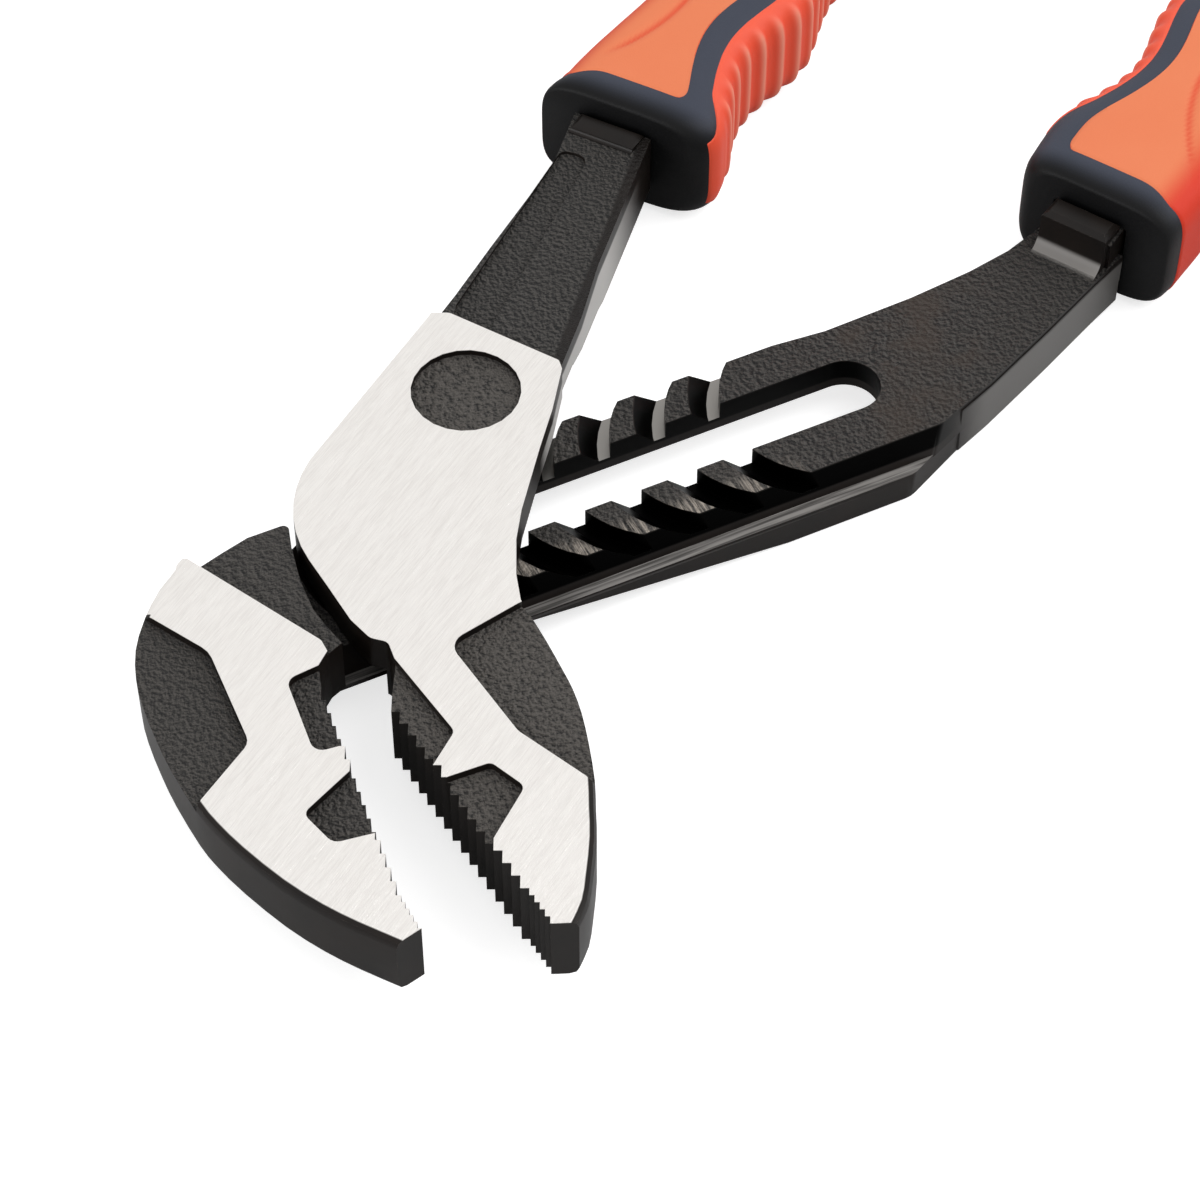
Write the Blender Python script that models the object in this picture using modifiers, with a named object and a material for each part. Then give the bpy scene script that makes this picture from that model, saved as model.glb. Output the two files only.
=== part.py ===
"""Water pump pliers, about 254 mm long, lying on their back with the jaws set open.

Frame: origin under the pivot, on the surface the pliers lie on. +X runs along the slot from
the jaws to the handles, +Y across it to the tongue lever's handle, +Z up out of the front.
The slotted lever is the fixed body. A bush slides in its slot and the tongue lever turns on it.
"""
from math import cos, hypot, pi, radians, sin, sqrt

import bmesh
import bpy
from mathutils import Matrix, Vector

MM = 0.001

# Heights, from the surface up, in millimetres
BACK = 4.35
JAW_BACK = 5.4
BASE_FOOT = 0.3
FRONT = 15.15
RAIL_TOP = 9.15
GAP = 0.3
PLATE_BACK = RAIL_TOP + GAP
ARM_TOP = FRONT - 0.6
POCKET_FLOOR = FRONT - 1.2
SHOULDER_TOP = FRONT - 0.8
FLANGE_TOP = 4.7

# Slot, grooves and tongue
SLOT_HALF = 4.7
SLOT_START = -0.2
SLOT_END = 61.7
RAIL_HALF = 11.25
LOWER_RAIL_EDGE = -11.9
LOWER_RAIL_FOOT = -13.2
FLANGE_EDGE = -15.1
FLANGE_INNER = -9.5
FLANGE_BEVEL = 0.5
TAPER = (5.0, 46.0)
STOPS = 8
PITCH = 8.4
GROOVE_INNER = 15.05
GROOVE_FOOT = 16.7
GROOVE_OUTER = 19.4
GROOVE_FLOOR = RAIL_TOP - 2.8
GROOVE_SWEEP = (122, 238)
TONGUE_OUTER = 17.1
TONGUE_FOOT = 7.3
TONGUE_SWEEP = (126, 214)
BOSS_RADIUS = 18.85
JAW_WALL_RADIUS = 23.0

# Pivot
BUSH_RADIUS = SLOT_HALF - GAP
BUSH_FLANGE_RADIUS = 8.5
BUSH_FLANGE = 1.0
BUSH_TOP = RAIL_TOP - 0.2
STUD_RADIUS = 2.8
STUD_HEAD_RADIUS = 3.6
STUD_HEAD_TOP = 12.9
NUT_ACROSS_FLATS = 13.0
NUT_CHAMFER = 0.5
NUT_FOOT = 0.3

# Jaws
SIDE_ROUND = 1.1
TEETH = 16
TIP_TEETH = 5
MEDALLION = (12.1, 17.1)
MEDALLION_RADIUS = 7.5
MEDALLION_DEPTH = 0.9
ARM_PANEL_DEPTH = 0.5
FLANK = (-0.4415, -0.8973)
LEDGE = (0.8973, -0.4415)

# Grips: collar centre, heading of the handle and which way the other handle lies
GRIP_LENGTH = 114.0
GRIP_HALF = 9.5
GRIP_CENTRE = 9.5
GRIP_OUTER = 13.2
GRIP_INNER = 12.4
GRIP_SQUARENESS = 4.4
COVER_DEPTH = 1.8
COVER_RANGE = (4.7, 106.0)
PAD_LEAD = 18.5
PAD_END = 104.0
RIB_PITCH = 3.9
RIB_HEIGHT = 0.6
TANG_LENGTH = 24.0
TANG_HALF = 5.6
TANG_TIP_HALF = 4.4
TANG_BACK = 5.4
ARM_BACK = 5.0
TANG_FRONT = 13.5
TANG_OVERLAP = 4.0
NECK_HALF = 6.2
NECK_GAP = 0.5
NECK_RIM = 8.4
STEP_HALF = 5.1
STEP_ROUND = 0.7
GRIP_BOW = 1100.0
SLOTTED_GRIP = {"centre": (106.5, 10.5), "heading": 29.5, "inward": 1, "waist": 28.0, "shift": 0.0}
TONGUE_GRIP = {"centre": (53.9, 56.3), "heading": 36.0, "inward": -1, "waist": 20.0, "shift": 2.3}

STEEL_BRIGHT = ((0.76, 0.75, 0.73, 1.0), 0.32, 1.0)
STEEL_BLACK = ((0.030, 0.029, 0.028, 1.0), 0.55, 0.6)
NAVY_RUBBER = ((0.030, 0.034, 0.055, 1.0), 0.6, 0.0)
ORANGE_RUBBER = ((0.86, 0.19, 0.05, 1.0), 0.5, 0.0)
RED_RUBBER = ((0.72, 0.08, 0.03, 1.0), 0.5, 0.0)


def clear_scene():
    for item in list(bpy.data.objects):
        bpy.data.objects.remove(item, do_unlink=True)


def collection(name):
    made = bpy.data.collections.new(name)
    bpy.context.scene.collection.children.link(made)
    return made


def material(name, finish):
    colour, roughness, metallic = finish
    made = bpy.data.materials.new(name)
    made.use_nodes = True
    shader = made.node_tree.nodes["Principled BSDF"]
    shader.inputs["Base Color"].default_value = colour
    shader.inputs["Roughness"].default_value = roughness
    shader.inputs["Metallic"].default_value = metallic
    return made


def polar(radius, degrees, centre=(0.0, 0.0)):
    turn = radians(degrees)
    return (centre[0] + radius * cos(turn), centre[1] + radius * sin(turn))


def arc(radius, start, end, centre=(0.0, 0.0), step=7.5):
    count = max(2, round(abs(end - start) / step))
    return [polar(radius, start + (end - start) * i / count, centre) for i in range(count + 1)]


def rounded(points, step=0.3):
    """A closed outline of (x, y) corners, where (x, y, r) is a corner rounded with radius r."""
    path = []
    for i, corner in enumerate(points):
        if len(corner) == 2:
            path.append(Vector(corner))
            continue
        here = Vector(corner[:2])
        before = (Vector(points[i - 1][:2]) - here).normalized()
        after = (Vector(points[(i + 1) % len(points)][:2]) - here).normalized()
        half = before.angle(after) / 2
        middle = here + (before + after).normalized() * (corner[2] / sin(half))
        first = here + before * (corner[2] * cos(half) / sin(half)) - middle
        last = here + after * (corner[2] * cos(half) / sin(half)) - middle
        turn = first.angle_signed(last)
        count = max(2, round(abs(turn) / step))
        for k in range(count + 1):
            path.append(middle + Matrix.Rotation(-turn * k / count, 2) @ first)
    return [(p[0], p[1]) for p in path]


def staircase(start, end, count):
    """Right-angled saw teeth from start to end, a long flank and then a ledge for each tooth."""
    span = Vector(end) - Vector(start)
    flank = Vector(FLANK) * (span.dot(Vector(FLANK)) / count)
    ledge = Vector(LEDGE) * (span.dot(Vector(LEDGE)) / count)
    path = []
    for i in range(count):
        foot = Vector(start) + (flank + ledge) * i
        path += [tuple(foot), tuple(foot + flank)]
    return path + [end]


def prism(name, points, low, high, frame=None):
    """A filled 2D curve extruded from low to high, as a closed mesh."""
    curve = bpy.data.curves.new(name, "CURVE")
    curve.dimensions = "2D"
    curve.fill_mode = "BOTH"
    curve.extrude = (high - low) / 2 * MM
    spline = curve.splines.new("POLY")
    spline.points.add(len(points) - 1)
    for point, (x, y) in zip(spline.points, points):
        point.co = (x * MM, y * MM, 0.0, 1.0)
    spline.use_cyclic_u = True
    source = bpy.data.objects.new(name + "_outline", curve)
    bpy.context.scene.collection.objects.link(source)
    place = (frame or Matrix()) @ Matrix.Translation((0.0, 0.0, (low + high) / 2 * MM))
    bpy.context.view_layer.update()
    evaluated = source.evaluated_get(bpy.context.evaluated_depsgraph_get())
    mesh = bpy.data.meshes.new_from_object(evaluated)
    mesh.name = name
    bpy.data.objects.remove(source)
    mesh.transform(place)
    weld(mesh)
    return bpy.data.objects.new(name, mesh)


def weld(mesh):
    shape = bmesh.new()
    shape.from_mesh(mesh)
    bmesh.ops.remove_doubles(shape, verts=shape.verts, dist=1e-7)
    bmesh.ops.dissolve_limit(shape, angle_limit=0.001, verts=shape.verts, edges=shape.edges)
    bmesh.ops.recalc_face_normals(shape, faces=shape.faces)
    shape.to_mesh(mesh)
    shape.free()


def bevel_edges(item, width, chosen, segments=1):
    """Bevel the edges whose middle point, in millimetres, the test accepts."""
    shape = bmesh.new()
    shape.from_mesh(item.data)
    edges = []
    for edge in shape.edges:
        a, b = (v.co / MM for v in edge.verts)
        if abs(a.z - b.z) < 1e-3 and chosen((a + b) / 2):
            edges.append(edge)
    bmesh.ops.bevel(shape, geom=edges, offset=width * MM, segments=segments, profile=0.5,
                    affect="EDGES", clamp_overlap=False)
    shape.to_mesh(item.data)
    shape.free()


def turned(name, profile, sides=24):
    """A profile of (radius, height) turned about Z, open on the axis or closed round a bore."""
    mesh = bpy.data.meshes.new(name)
    count = len(profile)
    edges = [(i, i + 1) for i in range(count - 1)]
    if profile[0][0] > 0:
        edges.append((count - 1, 0))
    mesh.from_pydata([(r * MM, 0.0, z * MM) for r, z in profile], edges, [])
    item = bpy.data.objects.new(name, mesh)
    screw = item.modifiers.new("turn", "SCREW")
    screw.steps = sides
    screw.render_steps = sides
    screw.use_merge_vertices = True
    screw.merge_threshold = 0.00001
    return item


class Pliers:
    """The parts, their cutters and the collections that hold them."""

    def __init__(self):
        clear_scene()
        self.parts = collection("water_pump_pliers")
        self.cutters = collection("cutters")

    def part(self, item, finish, origin=None):
        item.data.materials.clear()
        item.data.materials.append(material(item.name, finish))
        self.parts.objects.link(item)
        if origin is not None:
            item.parent = origin
        item.data.shade_smooth()
        item.data.set_sharp_from_angle(angle=radians(30))
        return item

    def tool(self, item):
        item.hide_render = True
        item.display_type = "WIRE"
        self.cutters.objects.link(item)
        return item

    def boolean(self, item, other, operation):
        step = item.modifiers.new(other.name, "BOOLEAN")
        step.operation = operation
        step.solver = "EXACT"
        step.object = self.tool(other)

    def cut(self, item, other):
        self.boolean(item, other, "DIFFERENCE")

    def add(self, item, other):
        self.boolean(item, other, "UNION")

    def axis(self, name):
        empty = bpy.data.objects.new(name, None)
        self.cutters.objects.link(empty)
        return empty


def sector(inner, outer, sweep, centre=(0.0, 0.0)):
    return arc(outer, sweep[0], sweep[1], centre) + arc(inner, sweep[1], sweep[0], centre)


def joined(name, items):
    """Several separate closed meshes as one cutter."""
    shape = bmesh.new()
    for item in items:
        shape.from_mesh(item.data)
        bpy.data.objects.remove(item)
    mesh = bpy.data.meshes.new(name)
    shape.to_mesh(mesh)
    shape.free()
    return bpy.data.objects.new(name, mesh)


def grip_axes(grip):
    along = Vector(polar(1.0, grip["heading"]))
    inward = Vector((-along.y, along.x)) * grip["inward"]
    return along, inward


def grip_point(grip, t, side):
    """A point t behind the collar's front and side towards the other handle."""
    along, inward = grip_axes(grip)
    bow = max(t, 0.0) ** 2 / (2 * GRIP_BOW)
    return Vector(grip["centre"]) + along * t + inward * (side - bow)


def tang_outline(grip, extra):
    tip = TANG_LENGTH + extra
    front = -TANG_OVERLAP - extra
    half, tip_half = TANG_HALF + extra, TANG_TIP_HALF + extra
    ends = ((front, -half), (tip, -tip_half), (tip, tip_half), (front, half))
    return [tuple(grip_point(grip, t, side)) for t, side in ends]


def tang(name, grip, extra=0.0):
    return prism(name, tang_outline(grip, extra), TANG_BACK - extra, TANG_FRONT + extra)


def neck_end(grip, inset=0.0):
    """The two corners where a lever meets its collar, the inner one first."""
    half = NECK_HALF - inset
    return [tuple(grip_point(grip, -NECK_GAP - inset, side)) for side in (half, -half)]


A_TEETH = staircase((-25.4, -20.6), (-29.7, -55.0), TEETH)[:-1]
A_TIP_TEETH = staircase((-29.7, -55.0), (-29.5, -60.4), TIP_TEETH)
B_TEETH = staircase((-18.3, -26.4), (-15.5, -60.8), TEETH)[:-1]
B_TIP_TEETH = staircase((-15.5, -60.8), (-14.9, -66.8), TIP_TEETH)


def along_path(path):
    """A test for the edges that lie along an open outline."""
    middles = [((a[0] + b[0]) / 2, (a[1] + b[1]) / 2) for a, b in zip(path, path[1:])]
    return lambda p: any(hypot(p.x - x, p.y - y) < 0.05 for x, y in middles)


def flowing(points):
    """The same open outline with a point added on the curve between each pair."""
    path = [points[0]]
    last = len(points) - 1
    for i in range(last):
        before, here, there, after = (Vector(points[min(max(k, 0), last)]) for k in range(i - 1, i + 3))
        path += [tuple((9 * (here + there) - before - after) / 16), points[i + 1]]
    return path


def slotted_jaw():
    round_side = flowing([(-34.6, 5.3), (-38.1, 3.0), (-41.5, -0.6), (-44.2, -4.6), (-45.9, -9.1),
                          (-46.75, -13.5), (-47.2, -19.2), (-47.3, -24.5), (-46.9, -31.4), (-46.2, -35.4),
                          (-44.75, -40.4), (-42.2, -47.0), (-39.4, -52.4), (-36.5, -56.8), (-33.2, -61.2)])
    outline = [(-18.55, 6.25, 0.8), (-24.3, 6.3), (-28.0, 5.4), (-31.6, 4.4), (-33.3, 6.2, 0.6)]
    outline += round_side + list(reversed(A_TEETH + A_TIP_TEETH))
    outline += [(-24.6, -18.0), (-22.6, -16.3, 1.0), (-20.3, -15.4)]
    outline += [(-21.0, -11.9), (-21.4, -8.6), (-21.0, -3.5), (-19.8, 2.2)]
    jaw = prism("slotted_lever", rounded(outline), JAW_BACK, FRONT)
    bevel_edges(jaw, SIDE_ROUND, along_path(round_side), 2)
    return jaw


def level(points, height):
    return [Vector((x, y, height)) * MM for x, y in points]


def rail_outline(lower_edge, corner):
    """The rails and the neck in plan, from the jaw along the upper side to the handle and back."""
    inner_neck, outer_neck = neck_end(SLOTTED_GRIP)
    upper = [(-26.0, 3.0), (-19.5, 5.2), (-13.0, RAIL_HALF), (56.0, RAIL_HALF), (64.0, 10.5), (78.0, 10.9),
             (88.0, 11.8), (95.0, 13.0), inner_neck]
    lower = [outer_neck, (103.2, 2.4), (92.4, -2.6), (80.0, -8.1), (corner, lower_edge, 3.0),
             (-26.0, lower_edge)]
    return rounded(upper + lower)


def groove(k):
    """One groove: an upright wall towards the handles and a ramp up towards the jaws."""
    rim = RAIL_TOP + 0.1
    slope = (GROOVE_OUTER - GROOVE_FOOT) / (RAIL_TOP - GROOVE_FLOOR)
    outer = GROOVE_OUTER + slope * (rim - RAIL_TOP)
    centre = (PITCH * k, 0.0)
    floor = level(sector(GROOVE_INNER, GROOVE_FOOT, GROOVE_SWEEP, centre), GROOVE_FLOOR)
    return loft(f"groove_{k}", [floor, level(sector(GROOVE_INNER, outer, GROOVE_SWEEP, centre), rim)])


def standing(place, heading):
    """A frame whose first axis runs along the heading and whose second points up."""
    x, y = polar(1.0, heading)
    return Matrix(((x, 0, y, place[0] * MM), (y, 0, -x, place[1] * MM), (0, 1, 0, 0), (0, 0, 0, 1)))


def flange_and_neck(pliers, lever):
    """The flange along the lower rail, thinner towards the jaws, and the thick neck."""
    flange = [(78.0, -7.5), (68.0, FLANGE_INNER), (-25.0, FLANGE_INNER), (-25.0, FLANGE_EDGE),
              (64.0, FLANGE_EDGE, 4.0), (76.0, -9.4)]
    plate = prism("flange", rounded(flange), BASE_FOOT, FLANGE_TOP)
    bevel_edges(plate, FLANGE_BEVEL,
                lambda p: p.z > FLANGE_TOP - 0.1 and 0 < p.x < 63 and p.y < FLANGE_EDGE + 0.1)
    pliers.add(lever, plate)
    inner_neck, outer_neck = neck_end(SLOTTED_GRIP, 0.05)
    neck = [(72.0, 7.0), (72.0, -9.0), (74.0, -10.6), (80.05, -8.22), (92.45, -2.72), (103.2, 2.28),
            outer_neck, inner_neck, (95.0, 12.9), (88.0, 11.7), (78.0, 10.8)]
    pliers.add(lever, prism("neck", neck, BASE_FOOT + 0.1, NECK_RIM))
    relief = [(-30.0, -1.0), (-30.0, BACK), (TAPER[0], BACK), (TAPER[1], BASE_FOOT - 0.1), (TAPER[1], -1.0)]
    pliers.cut(lever, prism("flange_taper", relief, 9.0, 20.0, standing((0.0, 0.0), 0.0)))


def neck_step(name, grip, floor, radius, edge, top):
    """The rise from a lever's top to its tang, a hollow curve seen from the side."""
    start, end = -edge - 0.6 - radius, -NECK_GAP - 0.1
    sunk = floor - 1.0
    scoop = arc(radius, 270, 350, (start, floor + radius), 10)
    profile = [(start - 0.2, sunk)] + scoop + [(-edge, top), (end, top), (end, sunk)]
    step = prism(name, profile, -STEP_HALF, STEP_HALF, standing(grip["centre"], grip["heading"]))
    bevel_edges(step, STEP_ROUND, lambda p: p.z > top - 0.1)
    return step


def slotted_lever(pliers):
    lever = slotted_jaw()
    foot, top = rail_outline(LOWER_RAIL_FOOT, 68.3), rail_outline(LOWER_RAIL_EDGE, 70.0)
    pliers.add(lever, loft("rails", [level(foot, BACK), level(top, RAIL_TOP)]))
    flange_and_neck(pliers, lever)
    pliers.add(lever, neck_step("slotted_step", SLOTTED_GRIP, RAIL_TOP, 2.5, 4.7, 15.2))
    pliers.add(lever, tang("slotted_tang", SLOTTED_GRIP))
    slot = arc(SLOT_HALF, 90, 270, (SLOT_START, 0.0)) + arc(SLOT_HALF, -90, 90, (SLOT_END, 0.0))
    pliers.cut(lever, prism("slot", slot, BACK - 1, RAIL_TOP + 1))
    pliers.cut(lever, joined("grooves", [groove(k) for k in range(STOPS)]))
    shoulder = [(-36.0, 12.0), (-22.7, -14.4, 1.2), (-22.7, -19.0), (-12.0, -19.0), (-12.0, 12.0)]
    pliers.cut(lever, prism("shoulder_step", rounded(shoulder), SHOULDER_TOP, FRONT + 1))
    outer_pocket = [(-43.6, 3.8), (-36.2, -9.8, 4.0), (-37.2, -25.6, 2.2), (-50.5, -34.1), (-55.0, -15.0)]
    throat_pocket = [(-19.0, -17.6), (-29.2, -18.4, 1.6), (-30.6, -30.6, 1.6), (-20.0, -32.0)]
    hex_pocket = [(-22.0, -32.5), (-35.5, -38.6, 1.2), (-34.0, -44.3, 1.6), (-22.0, -46.3)]
    for label, outline in (("outer", outer_pocket), ("throat", throat_pocket), ("hex", hex_pocket)):
        pliers.cut(lever, prism(f"slotted_{label}_pocket", rounded(outline), POCKET_FLOOR, FRONT + 1))
    return pliers.part(lever, STEEL_BLACK)


def tongue_outline():
    """Front outline of the head and jaw, from the arm's left edge round to its right edge."""
    boss = arc(BOSS_RADIUS, 121, 184)
    throat = rounded([(-18.4, -6.7), (-18.0, -13.0), (-17.0, -16.8, 1.6), (-15.2, -18.4, 1.2),
                      (-15.6, -21.5)])
    outer = flowing([(-12.3, -67.9), (-9.9, -65.6), (-7.7, -62.3), (-4.8, -57.4), (-2.9, -53.3),
                     (-0.95, -49.0), (0.85, -43.7), (2.2, -38.9), (2.9, -34.9), (3.1, -31.7), (3.3, -26.5),
                     (3.3, -21.8)])
    right = [(2.9, -19.6), (4.2, -15.5), (6.8, -10.0), (9.6, -5.7), (16.6, 3.3), (21.0, 8.7),
             (25.5, 15.0)]
    return [(14.0, 32.5)] + boss + throat, B_TEETH + B_TIP_TEETH, outer, right


def tongue_lever(pliers, axis):
    grip = TONGUE_GRIP
    inner_neck, outer_neck = neck_end(grip)
    left, teeth, outer, right = tongue_outline()
    step = rounded([right[-1], (25.8, 16.6, 0.6), (16.2, 31.4, 1.2), (14.0, 32.5)])[1:-1]
    lever = prism("tongue_lever", left + teeth + outer + right + step, BACK, FRONT)
    bevel_edges(lever, SIDE_ROUND, along_path(outer), 2)
    left_arm = [(43.0, 53.4), (36.2, 48.0), (27.1, 41.2), (18.5, 34.6), (14.6, 31.8), (19.0, 22.0)]
    right_arm = [(24.9, 14.9), (32.4, 23.1), (39.0, 31.3), (50.0, 43.2)]
    arm = right_arm + [inner_neck, outer_neck] + left_arm
    pliers.add(lever, prism("tongue_arm", arm, ARM_BACK, ARM_TOP))
    pliers.add(lever, neck_step("tongue_step", grip, ARM_TOP, 0.8, 3.6, 15.5))
    pliers.add(lever, tang("tongue_tang", grip))
    head_back = arc(JAW_WALL_RADIUS, 231, 285)
    head_back += [(34.0, -20.0), (30.5, 18.6), (19.0, 37.4), (-30.0, 30.0), (-30.0, -21.2)]
    pliers.cut(lever, prism("head_back", head_back, BACK - 1, PLATE_BACK))
    under_arm = [(-0.6, 0.0), (-0.6, PLATE_BACK - 0.1), (17.0, ARM_BACK - 0.2), (17.0, 0.0)]
    pliers.cut(lever, prism("arm_taper", under_arm, -25.0, 25.0, standing((24.75, 28.0), 31.5)))
    tongue = sector(GROOVE_INNER + GAP, TONGUE_OUTER, TONGUE_SWEEP)
    pliers.add(lever, prism("tongue", tongue, TONGUE_FOOT, PLATE_BACK + 0.5))
    outer_pocket = [(8.0, -18.9), (-8.4, -21.9, 2.4), (-6.5, -38.6, 3.0), (1.0, -55.3), (10.0, -45.0)]
    throat_pocket = [(-15.9, -18.8), (-13.6, -35.2, 1.2), (-23.0, -42.6), (-25.0, -22.0)]
    hex_pocket = [(-22.0, -41.0), (-11.6, -41.6, 1.0), (-9.4, -46.8, 1.2), (-22.0, -56.8)]
    for label, outline in (("outer", outer_pocket), ("throat", throat_pocket), ("hex", hex_pocket)):
        pliers.cut(lever, prism(f"tongue_{label}_pocket", rounded(outline), POCKET_FLOOR, FRONT + 1))
    disc = arc(MEDALLION_RADIUS, 0, 345, MEDALLION, 15)
    pliers.cut(lever, prism("medallion", disc, FRONT - MEDALLION_DEPTH, FRONT + 1))
    panel = [(15.5, 29.5), (20.0, 26.5), (47.6, 51.6, 2.0), (44.6, 54.7, 1.2), (18.0, 33.0)]
    pliers.cut(lever, prism("arm_panel", rounded(panel), ARM_TOP - ARM_PANEL_DEPTH, ARM_TOP + 0.3))
    stud_hole = arc(STUD_HEAD_RADIUS + GAP, 0, 345, step=15)
    pliers.cut(lever, prism("stud_hole", stud_hole, PLATE_BACK - 1.0, STUD_HEAD_TOP + GAP))
    return pliers.part(lever, STEEL_BRIGHT, axis)


def pivot(pliers, slide, axis):
    flange_top = BACK - GAP
    flange_foot = flange_top - BUSH_FLANGE
    bore = STUD_RADIUS + GAP
    bush = [(bore, BUSH_TOP), (BUSH_RADIUS, BUSH_TOP), (BUSH_RADIUS, flange_top),
            (BUSH_FLANGE_RADIUS, flange_top), (BUSH_FLANGE_RADIUS, flange_foot), (bore, flange_foot)]
    pliers.part(turned("slide_bush", bush), STEEL_BRIGHT, slide)
    shoulder = PLATE_BACK + 0.2
    stud = [(0.0, STUD_HEAD_TOP), (STUD_HEAD_RADIUS, STUD_HEAD_TOP), (STUD_HEAD_RADIUS, shoulder),
            (STUD_RADIUS, shoulder), (STUD_RADIUS, 0.0), (0.0, 0.0)]
    pliers.part(turned("pivot_stud", stud), STEEL_BRIGHT, axis)
    corner = NUT_ACROSS_FLATS / sqrt(3)
    nut = prism("pivot_nut", [polar(corner, 60 * i) for i in range(6)], NUT_FOOT, flange_foot - GAP)
    bevel_edges(nut, NUT_CHAMFER, lambda p: p.z < NUT_FOOT + 0.1)
    pliers.cut(nut, prism("nut_bore", arc(bore, 0, 345, step=15), NUT_FOOT - 1, flange_foot + 1))
    pliers.part(nut, STEEL_BLACK, axis)


def smooth(value):
    value = min(max(value, 0.0), 1.0)
    return value * value * (3 - 2 * value)


def hump(t, middle, half):
    return 0.5 + 0.5 * cos(pi * min(abs(t - middle) / half, 1.0))


def inner_half(t, grip):
    """Half width towards the other handle: a finger guard, two finger hollows and a flared heel."""
    waist = grip["waist"]
    guard, hollow = 0.8 * hump(t, waist - 17.0, 10.0), 3.4 * hump(t, waist, 17.0)
    second_hollow, heel = 2.2 * hump(t, waist + 30.0, 16.0), 0.9 * hump(t, 104.0, 16.0)
    return GRIP_INNER + grip["shift"] + guard - hollow - second_hollow + heel


def outer_half(t, grip):
    """Half width away from the other handle: full at the collar, then drawn in, with a flared heel."""
    drawn_in = 4.6 * smooth((t - grip["waist"] + 18.0) / 34.0) + grip["shift"] * smooth((t + 2.0) / 7.0)
    return GRIP_OUTER - drawn_in + 1.8 * hump(t, 66.0, 34.0) + 2.0 * hump(t, 106.0, 16.0)


def grip_scale(t, front_share, front_length):
    """Collar front drawn in to a share of the full size, and a rounded heel."""
    rise = sqrt(1 - (1 - min(max(t, 0.0) / front_length, 1.0)) ** 2)
    heel = sqrt(max(1 - max((t - GRIP_LENGTH + 8.0) / 9.0, 0.0) ** 2, 0.05))
    return (front_share + (1 - front_share) * rise) * heel


def cover_edge(t, grip):
    """Where the orange cover ends round the grip, in degrees from the inner side."""
    return 70.0 + 9.5 * hump(t, grip["waist"] + 2.0, 20.0) + 4.0 * hump(t, 84.0, 18.0)


def pad_edge(t, grip):
    """Where the ribbed pad ends round the grip, drawn in at its front."""
    drawn_in = 0.45 + 0.55 * smooth((t - grip["waist"] + PAD_LEAD) / 8.0)
    return (54.0 + 5.0 * hump(t, grip["waist"] + 4.0, 18.0)) * drawn_in


def grip_ring(grip, t, degrees, inset):
    """A point of the grip's surface: t along it, an angle round it and a depth under it."""
    turn = radians(degrees)
    power = 2 / GRIP_SQUARENESS
    if cos(turn) > 0:
        reach = inner_half(t, grip) * grip_scale(t, 0.78, 4.0) - inset
    else:
        reach = inset - outer_half(t, grip) * grip_scale(t, 0.95, 3.0)
    tall = GRIP_HALF * grip_scale(t, 0.87, 3.0) - inset
    side = abs(cos(turn)) ** power * reach
    lift = abs(sin(turn)) ** power * (tall if sin(turn) > 0 else -tall)
    flat = grip_point(grip, t, side)
    return Vector((flat.x, flat.y, GRIP_CENTRE + lift)) * MM


def spread(first, last, count):
    return [first + (last - first) * i / (count - 1) for i in range(count)]


def loft(name, sections):
    """A closed body through sections of equal point count, capped at both ends."""
    shape = bmesh.new()
    rings = [[shape.verts.new(p) for p in section] for section in sections]
    count = len(rings[0])
    for near, far in zip(rings, rings[1:]):
        for i in range(count):
            k = (i + 1) % count
            shape.faces.new((near[i], near[k], far[k], far[i]))
    shape.faces.new(reversed(rings[0]))
    shape.faces.new(rings[-1])
    bmesh.ops.recalc_face_normals(shape, faces=shape.faces)
    bmesh.ops.triangulate(shape, faces=[f for f in shape.faces if len(f.verts) > 4])
    mesh = bpy.data.meshes.new(name)
    shape.to_mesh(mesh)
    shape.free()
    return bpy.data.objects.new(name, mesh)


PAD_POINTS = 9
COVER_POINTS = 13
STATIONS = spread(7.5, 30.0, 10) + spread(36.0, 99.0, 10)


def sleeve_section(grip, t, pad_cut, cover_cut):
    """One ring of the dark sleeve, with the seats of the pad and the cover cut into it."""
    pad, cover = pad_edge(t, grip), cover_edge(t, grip)
    ring = [grip_ring(grip, t, a, pad_cut) for a in spread(-pad, pad, PAD_POINTS)]
    ring += [grip_ring(grip, t, a, 0.0) for a in spread(pad, cover, 3)]
    ring += [grip_ring(grip, t, a, cover_cut) for a in spread(cover, 360 - cover, COVER_POINTS)]
    ring += [grip_ring(grip, t, a, 0.0) for a in spread(360 - cover, 360 - pad, 3)]
    return ring


def sleeve(pliers, name, grip, parent=None):
    edge = 0.05
    pad_start = grip["waist"] - PAD_LEAD
    stations = [0.0, 0.8, 3.0, COVER_RANGE[0], pad_start, PAD_END, COVER_RANGE[1]]
    stations += [COVER_RANGE[0] + edge, pad_start + edge, PAD_END + edge, COVER_RANGE[1] + edge]
    stations += STATIONS + [109.0, 111.5, 113.2, GRIP_LENGTH]
    sections = []
    for t in sorted(stations):
        pad_cut = COVER_DEPTH if pad_start < t <= PAD_END else 0.001
        cover_cut = COVER_DEPTH if COVER_RANGE[0] < t <= COVER_RANGE[1] else 0.001
        sections.append(sleeve_section(grip, t, pad_cut, cover_cut))
    item = loft(name, sections)
    pliers.cut(item, tang(name + "_tang_hole", grip, GAP))
    return pliers.part(item, NAVY_RUBBER, parent)


EDGE_GAP = 1.4 * GAP / GRIP_OUTER / pi * 180


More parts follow.
